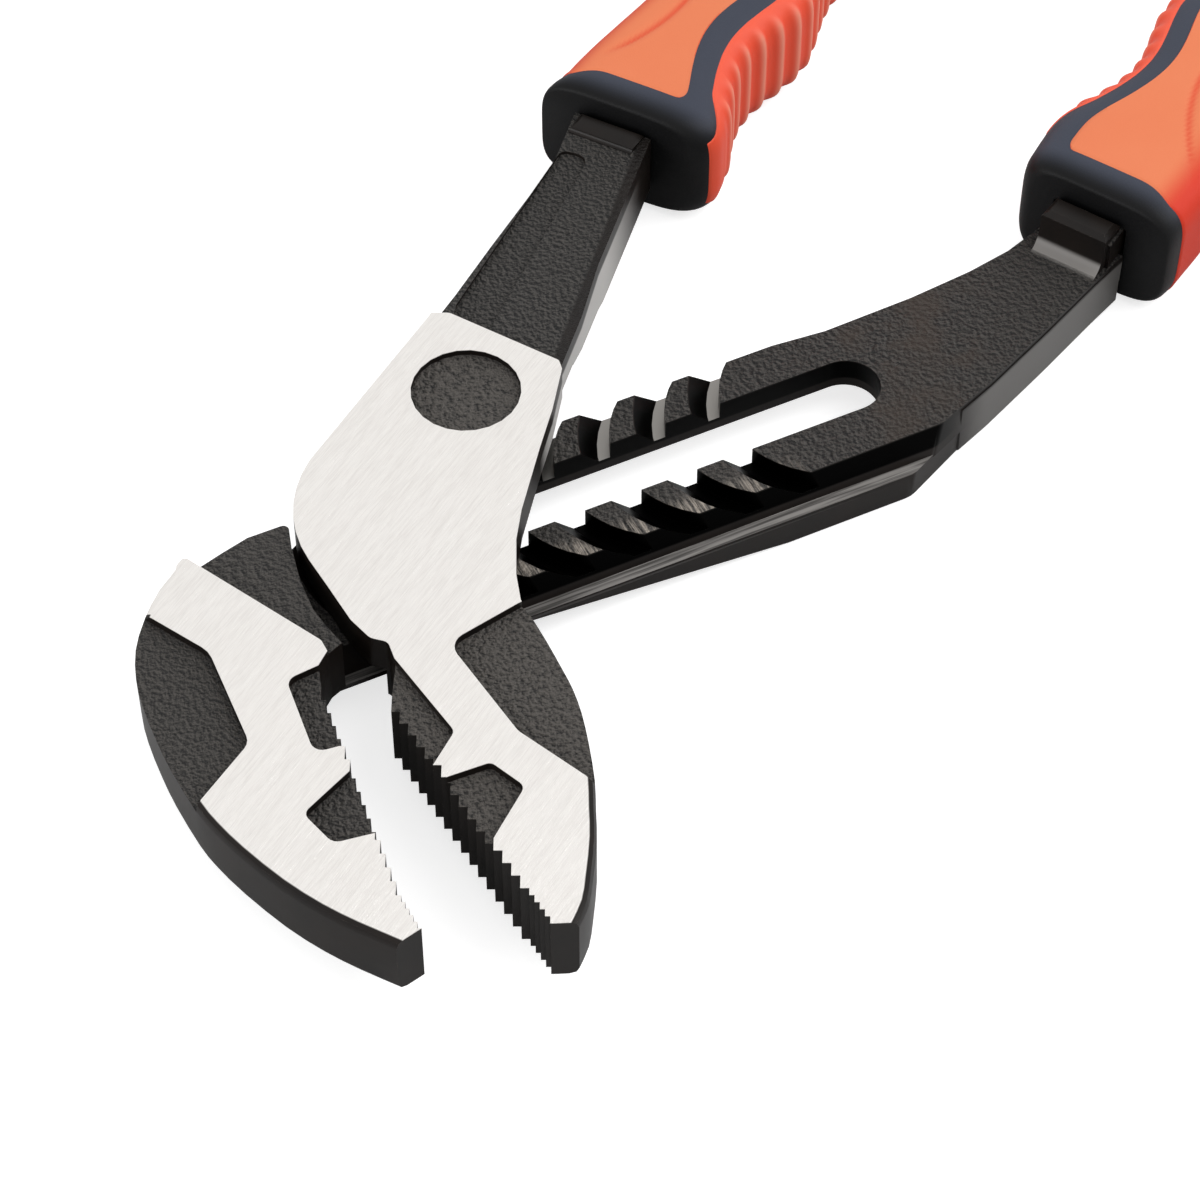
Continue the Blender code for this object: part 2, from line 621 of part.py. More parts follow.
def cover(pliers, name, grip, parent=None):
    sections = []
    for t in [COVER_RANGE[0] + GAP + 0.1] + STATIONS + [COVER_RANGE[1] - GAP]:
        first = cover_edge(t, grip) + EDGE_GAP
        angles = spread(first, 360 - first, COVER_POINTS)
        outside = [grip_ring(grip, t, a, 0.0) for a in angles]
        inside = [grip_ring(grip, t, a, COVER_DEPTH - GAP - 0.1) for a in reversed(angles)]
        sections.append(outside + inside)
    return pliers.part(loft(name, sections), ORANGE_RUBBER, parent)


def pad(pliers, name, grip, parent=None):
    first, last = grip["waist"] - PAD_LEAD + GAP + 0.1, PAD_END - GAP
    count = 2 * round((last - first) / RIB_PITCH)
    sections = []
    for i, t in enumerate(spread(first, last, count + 1)):
        reach = pad_edge(t, grip) - EDGE_GAP
        angles = spread(-reach, reach, PAD_POINTS)
        rise = RIB_HEIGHT if i % 2 else 0.0
        outside = [grip_ring(grip, t, a, -rise * cos(radians(90 * a / reach))) for a in angles]
        inside = [grip_ring(grip, t, a, COVER_DEPTH - GAP - 0.1) for a in reversed(angles)]
        sections.append(outside + inside)
    return pliers.part(loft(name, sections), RED_RUBBER, parent)


def build():
    pliers = Pliers()
    slide = pliers.axis("slide_axis")
    hinge = pliers.axis("hinge_axis")
    hinge.parent = slide
    slotted_lever(pliers)
    tongue_lever(pliers, hinge)
    pivot(pliers, slide, hinge)
    for prefix, grip, parent in (("slotted", SLOTTED_GRIP, None), ("tongue", TONGUE_GRIP, hinge)):
        sleeve(pliers, f"{prefix}_grip_sleeve", grip, parent)
        cover(pliers, f"{prefix}_palm_cover", grip, parent)
        pad(pliers, f"{prefix}_finger_pad", grip, parent)


build()
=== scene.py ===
"""Looks of a pair of water pump pliers lying on a white table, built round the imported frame.

Sizes are in millimetres and become metres where a mesh is made. The frame's +X runs along the
slot from the jaws to the handles, +Y across it to the tongue lever's handle, and +Z up.
"""
from math import cos, pi, radians, sin, sqrt

import bmesh
import bpy
import numpy as np
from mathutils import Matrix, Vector


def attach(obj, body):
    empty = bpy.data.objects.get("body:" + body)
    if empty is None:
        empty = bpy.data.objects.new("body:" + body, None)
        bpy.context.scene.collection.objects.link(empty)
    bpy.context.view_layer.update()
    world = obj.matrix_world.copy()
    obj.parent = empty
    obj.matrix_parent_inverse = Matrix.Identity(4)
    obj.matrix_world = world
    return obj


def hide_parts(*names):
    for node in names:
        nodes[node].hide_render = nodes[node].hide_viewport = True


MM = 0.001
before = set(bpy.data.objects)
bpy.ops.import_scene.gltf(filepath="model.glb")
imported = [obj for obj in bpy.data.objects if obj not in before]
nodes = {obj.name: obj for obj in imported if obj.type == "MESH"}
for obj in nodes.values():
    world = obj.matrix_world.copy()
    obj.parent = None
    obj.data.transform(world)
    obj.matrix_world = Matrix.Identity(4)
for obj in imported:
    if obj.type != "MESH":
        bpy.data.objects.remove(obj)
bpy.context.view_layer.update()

# Camera, solved from the round recess and the slot's edges
CAMERA_TARGET = (12.0, -24.1, 15.15)
CAMERA_DISTANCE = 448.7
CAMERA_AZIMUTH = -26.2
CAMERA_ELEVATION = 50.0
CAMERA_LENS = 105.0

# Steel: heights of its faces, where the grinding ends behind the jaws and how far edges are rounded
GROUND_FACE = 15.15
RAIL_TOP = 9.15
GROOVE_FLOOR = 6.35
FLANGE_TOP = 4.7
GROUND_END = 75.0
EDGE_ROUND = 0.2

# Where the flash was cut off each lever, grey, and painted lighter as the side that faces the light: the way
# that side faces, its height, where the grey starts and fades out along the slot, the painted shadow along
# the rim above it, and how worn the scale is
SHEARED_AND_LIT = {
    "slotted_lever": {"faces": (0.42, -0.91, 0.0), "height": (8.3, 7.7), "along": (72.0, 80.0),
                      "until": (130.0, 120.0), "edge": (60.0, 61.0), "behind": (60.0, 61.0),
                      "worn": 0.1, "colour": "#6A6866"},
    "tongue_lever": {"faces": (0.748, -0.664, 0.0), "height": (12.7, 12.0), "along": (16.0, 20.0),
                     "until": (54.0, 40.0), "edge": (7.0, 7.6), "behind": (38.0, 42.0),
                     "worn": 0.4, "colour": "#C4C2BF"},
}

# Grips, with the same driving sizes as the frame's solids
GRIP_LENGTH = 114.0
GRIP_HALF = 9.5
GRIP_CENTRE = 9.5
GRIP_OUTER = 13.2
GRIP_INNER = 12.4
GRIP_SQUARENESS = 4.4
COVER_RANGE = (4.7, 106.0)
PAD_LEAD = 18.5
PAD_END = 104.0
RIB_PITCH = 3.9
RIB_HEIGHT = 0.6
SLEEVE_SUNK = 0.15
SHELL_DEPTH = 1.0
EDGE_ROLL = 0.45
ROLL_DEPTH = SLEEVE_SUNK + 0.25
TANG_HOLE = {"depth": 24.3, "mouth": 5.9, "end": 4.7, "half": 4.35, "centre": 9.45}
GRIP_BOW = 1100.0

# The collar's front: its share of the full size, and how far back it reaches that size
FRONT_INNER = (0.78, 4.0)
FRONT_OUTER = (0.95, 3.0)
FRONT_TALL = (0.87, 3.0)

GRIPS = {
    "slotted": {"centre": (106.5, 10.5), "heading": 29.5, "inward": 1, "waist": 28.0, "shift": 0.0},
    "tongue": {"centre": (53.9, 56.3), "heading": 36.0, "inward": -1, "waist": 20.0, "shift": 2.3},
}

# Grip rubbers: material, colours of the flank (painted shade, darker than the top), of the top's darkest
# and lightest grit and of the parts that the mesh marks (painted shade on the navy collar's front and the
# orange shoulder and crease, painted highlight on the red crests), and roughness
RUBBERS = {
    "navy_rubber": ("navy grip rubber, moulded grit", "#1C1D20", "#383C47", "#434753", "#0D0D0E", 0.5),
    "orange_rubber": ("orange grip rubber, moulded satin", "#E0502F", "#DC7750", "#E1835C", "#D23A26", 0.5),
    "red_rubber": ("red grip rubber, moulded ribs", "#EC563C", "#E85A43", "#EE644B", "#F2957E", 0.45),
}

# Lamps: place and size in metres, power in watts
LAMPS = {
    "right box": ((0.6, -0.3, 0.95), (0.8, 0.8), 5.5),
    "right card": ((0.9, -0.15, 0.35), (0.6, 0.4), 1.8),
    "left card": ((-0.8, 0.0, 0.3), (0.6, 0.4), 3.5),
}


def linear(colour):
    """An sRGB hex colour as linear RGBA."""
    parts = [int(colour[i:i + 2], 16) / 255 for i in (1, 3, 5)]
    return [c / 12.92 if c <= 0.04045 else ((c + 0.055) / 1.055) ** 2.4 for c in parts] + [1.0]


def add(tree, kind, inputs=(), **settings):
    """Adds a node: settings are its properties, inputs are links or values by socket."""
    made = tree.nodes.new(kind if "Node" in kind else "ShaderNode" + kind)
    for key, value in settings.items():
        setattr(made, key, value)
    for key, value in dict(inputs).items():
        if isinstance(value, bpy.types.Node):
            tree.links.new(value.outputs[0], made.inputs[key])
        elif isinstance(value, bpy.types.NodeSocket):
            tree.links.new(value, made.inputs[key])
        else:
            made.inputs[key].default_value = value
    return made


def new_material(name):
    """An empty material and its node tree."""
    made = bpy.data.materials.new(name)
    made.use_nodes = True
    made.node_tree.nodes.clear()
    return made, made.node_tree


def close_material(tree, inputs):
    """Ends a material with its shader."""
    shader = add(tree, "BsdfPrincipled", inputs)
    add(tree, "OutputMaterial", {"Surface": shader})


def millimetres(tree):
    """The piece's own coordinates in millimetres."""
    return add(tree, "Mapping", {0: add(tree, "TexCoord").outputs["Object"], 3: (1000, 1000, 1000)})


def mask(tree, *limits):
    """Where a finish shows: 1 once every limit's value has gone from its first figure to its second.

    A limit that is a link or a number scales the mask.
    """
    made = 1.0
    for limit in limits:
        if isinstance(limit, tuple):
            value, first, second = limit
            limit = add(tree, "MapRange", {0: value, 1: first, 2: second}, interpolation_type="SMOOTHSTEP")
        made = add(tree, "Math", {0: limit, 1: made}, operation="MULTIPLY")
    return made


def background_rays(tree):
    """1 for the rays that show the white background: to the camera, in metal and through glass."""
    path = add(tree, "LightPath").outputs
    made = path["Is Camera Ray"]
    for kind in ("Is Glossy Ray", "Is Transmission Ray"):
        made = add(tree, "Math", {0: made, 1: path[kind]}, operation="MAXIMUM")
    return made


def grinding_lines(tree, place):
    """Lines 0.1 to 0.4 mm wide and 2 to 8 mm long, along the grinding belt's heading of 33 degrees."""
    across_belt = add(tree, "Mapping", {0: place, 2: (0, 0, radians(-33))})
    fine = add(tree, "TexNoise", {0: add(tree, "Mapping", {0: across_belt, 3: (0.35, 9.0, 0.1)}),
                                  "Scale": 1.0, "Detail": 4.0, "Roughness": 0.7})
    broad = add(tree, "TexNoise", {0: add(tree, "Mapping", {0: across_belt, 3: (0.15, 2.2, 0.1)}),
                                   "Scale": 1.0, "Detail": 3.0, "Roughness": 0.6})
    return add(tree, "MixRGB", {0: 0.3, 1: fine, 2: broad})


def forged_lever_steel(name, trimmed_and_lit):
    """Drop-forged tool steel, blackened all over, with its highest face ground bright after that.

    The eye sees slanting grinding lines on a pale satin face, pebbled scale on the lower faces with painted
    light on its crests and painted shade in its pits, smooth near-black walls, grey where the other lever has
    rubbed, and grey where the flash was cut off, painted lighter as the side that faces the light, with a
    painted shadow along the rim above it. Painted shade darkens the grooves, painted light shows on the inner
    rail's groove floors and in the hollow before the slotted lever's tang, and painted highlight streaks run
    along the thin flange.
    """
    made, tree = new_material(name)
    place = millimetres(tree)
    x, y, z = add(tree, "SeparateXYZ", {0: place}).outputs
    normal = add(tree, "TexCoord").outputs["Normal"]
    facing_up = add(tree, "SeparateXYZ", {0: normal}).outputs[2]
    upward = mask(tree, (facing_up, 0.9, 0.98), (z, GROUND_FACE - 0.3, GROUND_FACE - 0.45))
    from_jaws = add(tree, "Math", {0: x, 1: y}, operation="ADD")

    # The ground face, with the far end of the slotted jaw's band a little lower
    band_end = mask(tree, (x, -33.0, -36.0), (y, -1.0, 0.5))
    belt_height = add(tree, "Math", {0: band_end, 1: 0.9, 2: z}, operation="MULTIPLY_ADD")
    ground = mask(tree, (belt_height, GROUND_FACE - 0.12, GROUND_FACE - 0.04),
                  (from_jaws, GROUND_END, GROUND_END - 1.0))
    lines = grinding_lines(tree, place)
    bright = add(tree, "MixRGB", {0: mask(tree, (lines, 0.3, 0.65)), 1: linear("#E0DCD8"),
                                  2: linear("#F1EEEA")})

    # Scale wrinkles 0.4 to 0.9 mm across, with painted light on their crests and painted shade in their pits,
    # worn near the jaws, with a brown stain round the slot's end
    grain = {"Scale": 1.5, "Detail": 3.5, "Roughness": 0.6}
    pebbles = add(tree, "TexNoise", {0: place, **grain})
    beside = add(tree, "TexNoise", {0: add(tree, "Mapping", {0: place, 1: (0.2, 0.1, 0.0)}), **grain})
    painted_relief_slope = add(tree, "Math", {0: pebbles, 1: beside}, operation="SUBTRACT")
    stains = add(tree, "TexNoise", {0: place, "Scale": 0.15, "Detail": 4.0})
    worn = mask(tree, (from_jaws, 45.0, 35.0), (pebbles, 0.3, 0.6), trimmed_and_lit["worn"])
    brown = mask(tree, (stains, 0.42, 0.7), (x, 52.0, 66.0), (x, 92.0, 78.0), 0.5)
    # Painted light and shade: the grain's slope against a copy shifted 0.2 mm lightens one side of each
    # wrinkle and darkens the other
    crests = mask(tree, (painted_relief_slope, -0.12, 0.16))
    scale = linear("#0D0D0D")
    for where, over in ((crests, "#4B4845"), (worn, "#6B6661"), (brown, "#40352D")):
        scale = add(tree, "MixRGB", {0: where, 1: scale, 2: linear(over)})
    wall = add(tree, "MixRGB", {0: stains, 1: linear("#070707"), 2: linear("#1F1814")})

    # Rolled satin on the thin flange, with painted highlight streaks along it
    streaks = add(tree, "TexNoise", {0: add(tree, "Mapping", {0: place, 3: (0.08, 2.5, 1.0)}),
                                     "Scale": 1.0, "Detail": 3.0})
    satin = add(tree, "MixRGB", {0: mask(tree, (streaks, 0.35, 0.65)), 1: linear("#474543"),
                                 2: linear("#84817E")})
    on_flange = mask(tree, upward, (z, FLANGE_TOP + 0.7, FLANGE_TOP + 0.3))

    # Grooves darkened with painted shade, and painted light on the inner rail's groove floors
    in_groove = mask(tree, (z, RAIL_TOP - 0.05, RAIL_TOP - 0.25),
                     (z, GROOVE_FLOOR - 0.75, GROOVE_FLOOR - 0.35))
    groove_painted_shade = mask(tree, in_groove, (x, -8.0, 0.0), (x, 74.0, 70.0), (y, 14.0, 12.0))
    # Painted light: the inner rail's groove floors painted pale grey where light falls on them
    groove_floor_painted_light = mask(tree, upward, (z, GROOVE_FLOOR + 1.05, GROOVE_FLOOR + 0.55),
                    (z, GROOVE_FLOOR - 0.55, GROOVE_FLOOR - 0.25), (y, 3.0, 4.0))

    # Rub marks 0.3 mm wide across the outer part of the lands
    scratches = add(tree, "TexNoise", {0: add(tree, "Mapping", {0: place, 3: (2.4, 0.16, 1.0)}),
                                       "Scale": 1.0, "Detail": 3.0, "Roughness": 0.7})
    on_land = add(tree, "Math", {0: z, 1: RAIL_TOP, 2: 0.15}, operation="COMPARE")
    rub = mask(tree, (scratches, 0.4, 0.66), (y, -7.5, -10.5), (x, 0.0, 4.0), (x, 50.0, 46.0), on_land,
               upward)

    # Sides where the flash was cut off, grey and painted lighter as the sides that face the light, with a
    # painted shadow along the rim above them
    toward = add(tree, "VectorMath", {0: normal, 1: trimmed_and_lit["faces"]}, operation="DOT_PRODUCT")
    sheared_and_lit = mask(tree, (toward.outputs["Value"], 0.6, 0.85), (z, *trimmed_and_lit["height"]),
                   (x, *trimmed_and_lit["along"]), (x, *trimmed_and_lit["until"]))
    # Painted shadow: a dark rim along the top edge above the grey side
    out = add(tree, "VectorMath", {0: place, 1: trimmed_and_lit["faces"]}, operation="DOT_PRODUCT")
    rim = mask(tree, (out.outputs["Value"], *trimmed_and_lit["edge"]), (from_jaws, *trimmed_and_lit["behind"]), upward)

    # Painted highlight: the hollow in front of the slotted lever's tang is painted light grey
    hollow = mask(tree, (facing_up, 0.2, 0.5), (facing_up, 0.99, 0.93), (x, 86.0, 90.0), (z, 13.0, 12.5))

    colour = wall
    for where, over in ((upward, scale), (on_flange, satin), (in_groove, wall), (groove_painted_shade, linear("#040404")),
                        (groove_floor_painted_light, linear("#8F8C88")), (rub, linear("#A39A90")),
                        (sheared_and_lit, linear(trimmed_and_lit["colour"])), (rim, wall), (hollow, linear("#7B7875")),
                        (ground, bright)):
        colour = add(tree, "MixRGB", {0: where, 1: colour, 2: over})
    # A black metal reflects less than a black coat, so the grooves' painted shade counts as metal too
    metal = add(tree, "Math", {0: ground, 1: groove_painted_shade}, operation="ADD")
    black_rough = add(tree, "MapRange", {0: upward, 3: 0.34, 4: 0.4})
    ground_rough = add(tree, "MapRange", {0: lines, 1: 0.3, 2: 0.7, 3: 0.34, 4: 0.26})
    rough = add(tree, "MixRGB", {0: ground, 1: black_rough, 2: ground_rough})
    pebbled = mask(tree, pebbles, upward, (z, RAIL_TOP - 0.25, RAIL_TOP - 0.05))
    height = add(tree, "MixRGB", {0: ground, 1: pebbled, 2: mask(tree, lines, 0.05)})
    bump = add(tree, "Bump", {"Height": height, "Strength": 1.0, "Distance": 0.0009})
    close_material(tree, {"Base Color": colour, "Metallic": metal, "Roughness": rough, "Normal": bump,
                          "Specular IOR Level": 0.2})
    return made


def rubbed_edge_steel():
    """Edges where handling has rubbed the black off in patches: brown-grey, with bright bare spots."""
    made, tree = new_material("rubbed steel edges")
    place = millimetres(tree)
    patches = add(tree, "TexNoise", {0: place, "Scale": 0.7, "Detail": 5.0, "Roughness": 0.65})
    height = add(tree, "SeparateXYZ", {0: place}).outputs[2]
    bare = mask(tree, (patches, 0.48, 0.68), (height, RAIL_TOP - 0.55, RAIL_TOP - 0.15))
    colour = add(tree, "MixRGB", {0: bare, 1: linear("#1B1815"), 2: linear("#978B7F")})
    rough = add(tree, "MapRange", {0: bare, 3: 0.45, 4: 0.3})
    close_material(tree, {"Base Color": colour, "Metallic": mask(tree, bare, 0.5), "Roughness": rough,
                          "Specular IOR Level": 0.25})
    return made


def turned_steel(name, dark, light):
    """Turned steel: satin, with fine rings from the lathe tool."""
    made, tree = new_material(name)
    rings = add(tree, "TexWave", {0: millimetres(tree), "Scale": 1.2, "Distortion": 0.4, "Detail": 2.0},
                wave_type="RINGS", rings_direction="Z")
    colour = add(tree, "MixRGB", {0: rings, 1: linear(dark), 2: linear(light)})
    rough = add(tree, "MapRange", {0: rings, 3: 0.28, 4: 0.4})
    bump = add(tree, "Bump", {"Height": rings, "Strength": 0.3, "Distance": 0.00004})
    close_material(tree, {"Base Color": colour, "Metallic": 1.0, "Roughness": rough, "Normal": bump})
    return made


def grip_rubber(name, flank, dark, light, marked, roughness):
    """Injection-moulded thermoplastic rubber: even colour, soft gloss, a fine spark-eroded grit.

    The flanks are painted darker than the eroded top and bottom faces, as painted shade. The mesh marks
    where the colour shifts, as painted light: painted shade darkens the collar's front and reddens the
    cover's shoulder and crease, and painted highlights lighten the pad's crests.
    """
    made, tree = new_material(name)
    place = millimetres(tree)
    cloud = add(tree, "TexNoise", {0: place, "Scale": 0.09, "Detail": 3.0})
    grit = add(tree, "TexNoise", {0: place, "Scale": 4.0, "Detail": 3.0})
    tone = add(tree, "MixRGB", {0: 0.6, 1: grit, 2: cloud})
    eroded = add(tree, "MixRGB", {0: tone, 1: linear(dark), 2: linear(light)})
    facing = add(tree, "SeparateXYZ", {0: add(tree, "TexCoord").outputs["Normal"]})
    flat = add(tree, "Math", {0: facing.outputs[2]}, operation="ABSOLUTE")
    # Painted shade: the flanks take the darker flank colour, the top and bottom faces the grit
    even = add(tree, "MixRGB", {0: mask(tree, (flat, 0.25, 0.97)), 1: linear(flank), 2: eroded})
    # Painted light carried by the mesh: shade on the collar's front and the cover's shoulder and crease,
    # highlights on the pad's crests
    shift = add(tree, "Attribute", attribute_name="shift").outputs["Fac"]
    colour = add(tree, "MixRGB", {0: shift, 1: even, 2: linear(marked)})
    rough = add(tree, "MapRange", {0: grit, 3: roughness - 0.06, 4: roughness + 0.06})
    bump = add(tree, "Bump", {"Height": grit, "Strength": 0.3, "Distance": 0.0001})
    close_material(tree, {"Base Color": colour, "Roughness": rough, "Normal": bump,
                          "Specular IOR Level": 0.14})
    return made


def paint(item, *surfaces):
    """Gives a piece its materials, in order."""
    item.data.materials.clear()
    for surface in surfaces:
        item.data.materials.append(surface)


def curved_wall_shading():
    """Smooth shading on curved walls, with edges over 30 degrees kept sharp."""
    tree = bpy.data.node_groups.new("curved wall shading", "GeometryNodeTree")
    tree.interface.new_socket("Geometry", in_out="INPUT", socket_type="NodeSocketGeometry")
    tree.interface.new_socket("Geometry", in_out="OUTPUT", socket_type="NodeSocketGeometry")
    start = add(tree, "NodeGroupInput")
    plain = add(tree, "GeometryNodeRemoveAttribute", {0: start, 1: "custom_normal"})
    angle = add(tree, "GeometryNodeInputMeshEdgeAngle")
    gentle = add(tree, "FunctionNodeCompare", {0: angle, 1: radians(30)}, operation="LESS_THAN")
    faces = add(tree, "GeometryNodeSetShadeSmooth", {0: plain, 2: True}, domain="FACE")
    edges = add(tree, "GeometryNodeSetShadeSmooth", {0: faces, 2: gentle}, domain="EDGE")
    add(tree, "NodeGroupOutput", {0: edges})
    return tree


def soften(item, width, shading):
    """Rounds a frame solid's hard edges, as tumbling and handling leave them."""
    merge = item.modifiers.new("merge", "WELD")
    merge.merge_threshold = 0.00001
    flats = item.modifiers.new("flats", "DECIMATE")
    flats.decimate_type = "DISSOLVE"
    flats.angle_limit = radians(0.5)
    edge = item.modifiers.new("edge", "BEVEL")
    edge.width = width * MM
    edge.segments = 2
    edge.limit_method = "ANGLE"
    edge.angle_limit = radians(40)
    edge.material = 1
    item.modifiers.new("shading", "NODES").node_group = shading
    flat = item.modifiers.new("flat faces", "WEIGHTED_NORMAL")
    flat.keep_sharp = True


def smooth(value):
    """0 to 1 with soft ends."""
    value = min(max(value, 0.0), 1.0)
    return value * value * (3 - 2 * value)


def hump(t, middle, half):
    """1 at the middle, falling softly to 0 at half the hump's width."""
    return 0.5 + 0.5 * cos(pi * min(abs(t - middle) / half, 1.0))


def grip_point(grip, t, side):
    """A point t behind the collar's front and side towards the other handle."""
    turn = radians(grip["heading"])
    along = Vector((cos(turn), sin(turn)))
    inward = Vector((-along.y, along.x)) * grip["inward"]
    bow = max(t, 0.0) ** 2 / (2 * GRIP_BOW)
    return Vector(grip["centre"]) + along * t + inward * (side - bow)


def inner_half(t, grip):
    """Half width towards the other handle: a finger guard, two finger hollows and a flared heel."""
    waist = grip["waist"]
    guard, hollow = 0.8 * hump(t, waist - 17.0, 10.0), 3.4 * hump(t, waist, 17.0)
    second_hollow, heel = 2.2 * hump(t, waist + 30.0, 16.0), 0.9 * hump(t, 104.0, 16.0)
    return GRIP_INNER + grip["shift"] + guard - hollow - second_hollow + heel


def outer_half(t, grip):
    """Half width away from the other handle: full at the collar, then drawn in, with a flared heel."""
    drawn_in = 4.6 * smooth((t - grip["waist"] + 18.0) / 34.0) + grip["shift"] * smooth((t + 2.0) / 7.0)
    return GRIP_OUTER - drawn_in + 1.8 * hump(t, 66.0, 34.0) + 2.0 * hump(t, 106.0, 16.0)


def grip_scale(t, front_share, front_length):
    """Collar front drawn in to a share of the full size, and a rounded heel."""
    rise = sqrt(1 - (1 - min(max(t, 0.0) / front_length, 1.0)) ** 2)
    heel = sqrt(max(1 - max((t - GRIP_LENGTH + 8.0) / 9.0, 0.0) ** 2, 0.05))
    return (front_share + (1 - front_share) * rise) * heel


def cover_edge(t, grip):
    """Where the orange cover ends round the grip, in degrees from the inner side."""
    return 70.0 + 9.5 * hump(t, grip["waist"] + 2.0, 20.0) + 4.0 * hump(t, 84.0, 18.0)


def pad_edge(t, grip):
    """Where the ribbed pad ends round the grip, drawn in at its front."""
    drawn_in = 0.45 + 0.55 * smooth((t - grip["waist"] + PAD_LEAD) / 8.0)
    return (54.0 + 5.0 * hump(t, grip["waist"] + 4.0, 18.0)) * drawn_in


def squared_round(degrees, right, left, tall, squareness=GRIP_SQUARENESS):
    """Side and lift of a rounded rectangle's point at an angle."""
    across, up = cos(radians(degrees)), sin(radians(degrees))
    power = 2 / squareness
    side = abs(across) ** power * (right if across > 0 else -left)
    return side, abs(up) ** power * (tall if up > 0 else -tall)


ANGLES = np.linspace(-90.0, 450.0, 10801)
OUTLINE = np.array([squared_round(a, GRIP_INNER, GRIP_OUTER, GRIP_HALF) for a in ANGLES])
LENGTHS = np.concatenate([[0.0], np.cumsum(np.hypot(*np.diff(OUTLINE, axis=0).T))])


def even_angles(first, last, count):
    """Angles between two others that space points evenly along the grip's outline."""
    ends = np.interp((first, last), ANGLES, LENGTHS)
    return np.interp(np.linspace(*ends, count), LENGTHS, ANGLES)


def grip_ring(grip, t, degrees, inset):
    """A point of the grip's surface: t along it, an angle round it and a depth under it."""
    inner = inner_half(t, grip) * grip_scale(t, *FRONT_INNER) - inset
    outer = outer_half(t, grip) * grip_scale(t, *FRONT_OUTER) - inset
    side, lift = squared_round(degrees, inner, outer, GRIP_HALF * grip_scale(t, *FRONT_TALL) - inset)
    flat = grip_point(grip, t, side)
    return Vector((flat.x, flat.y, GRIP_CENTRE + lift)) * MM


def loft(name, sections, shifts):
    """A closed, smooth body through sections of equal point count, capped at both ends.

    The shifts say how far each point has the rubber's marked colour.
    """
    shape = bmesh.new()
    rings = [[shape.verts.new(p) for p in section] for section in sections]
    count = len(rings[0])
    for near, far in zip(rings, rings[1:]):
        for i in range(count):
            k = (i + 1) % count
            shape.faces.new((near[i], near[k], far[k], far[i]))
    shape.faces.new(reversed(rings[0]))
    shape.faces.new(rings[-1])
    bmesh.ops.recalc_face_normals(shape, faces=shape.faces)
    mesh = bpy.data.meshes.new(name)
    shape.to_mesh(mesh)
    shape.free()
    shift = mesh.attributes.new("shift", "FLOAT", "POINT")
    shift.data.foreach_set("value", [s for ring in shifts for s in ring])
    mesh.shade_smooth()
    mesh.set_sharp_from_angle(angle=radians(50))
    item = bpy.data.objects.new(name, mesh)
    bpy.context.scene.collection.objects.link(item)
    return item


def stations(first, last, step, fine):
    """Places along the grip, close together near both ends where the edges roll over."""
    ends = [first + fine * k / 5 for k in range(5)]
    middle = np.linspace(first + fine, last - fine, round((last - first - 2 * fine) / step))
    return ends + list(middle) + [last - fine * k / 5 for k in range(4, -1, -1)]


def rolled(distance):
    """How deep an overmoulded edge rolls over, that far in from its border."""
    near = 1 - min(max(distance / EDGE_ROLL, 0.0), 1.0)
    return ROLL_DEPTH * (1 - sqrt(max(1 - near * near, 0.0)))


def under_cover(grip, t, degrees):
    """How far the sleeve is let in under the cover, so that the cover's crease stays clear of it."""
    first_t, last_t = COVER_RANGE
    inside = smooth((min(degrees, 360 - degrees) - cover_edge(t, grip) - 4) / 6)
    return 0.45 * inside * smooth((t - first_t - 1.5) / 2) * smooth((last_t - 1.5 - t) / 2)


def sleeve(grip, name):
    """The dark sleeve: a collar, a body under the cover and the pad, a heel and a hole for the tang."""
    count = 112
    angles = even_angles(0.0, 360.0, count + 1)[:-1]
    hole = []
    for t, half in ((TANG_HOLE["depth"], TANG_HOLE["end"]), (0.0, TANG_HOLE["mouth"])):
        ring = []
        for a in angles:
            side, lift = squared_round(a, half, half, TANG_HOLE["half"], 16.0)
            flat = grip_point(grip, t, side)
            ring.append(Vector((flat.x, flat.y, TANG_HOLE["centre"] + lift)) * MM)
        hole.append(ring)
    front = [0.0, 0.1, 0.3, 0.6, 1.0, 1.5, 2.2, 3.0]
    heel = [GRIP_LENGTH - 8.0 + 8.0 * sin(pi / 2 * k / 12) for k in range(13)]
    body = list(np.linspace(3.6, GRIP_LENGTH - 9.0, 110))
    places = front + body + heel
    outside = [[grip_ring(grip, t, a, SLEEVE_SUNK + under_cover(grip, t, a)) for a in angles] for t in places]
    # Painted shade: the collar's front is marked darker
    collar_front_shade = [[1 - smooth((t - 0.4) / 4.5)] * count for t in [0.0, 0.0] + places]
    return loft(name, hole + outside, collar_front_shade)


def crease(t, side, waist, half):
    """A line pressed into the cover, an arch that starts behind the collar: 1 at its middle."""
    arch = -0.6 - 0.0111 * abs(t - waist - 8.0) ** 2.1
    return hump(side, arch, half) * smooth((t - 8.0) / 5.0)


def shoulder_shade(t, side, grip):
    """How far the cover is painted a deeper red, as painted shade, on its way down to the outer flank."""
    return smooth((6.5 - grip["shift"] - outer_half(t, grip) - side) / 4.5)


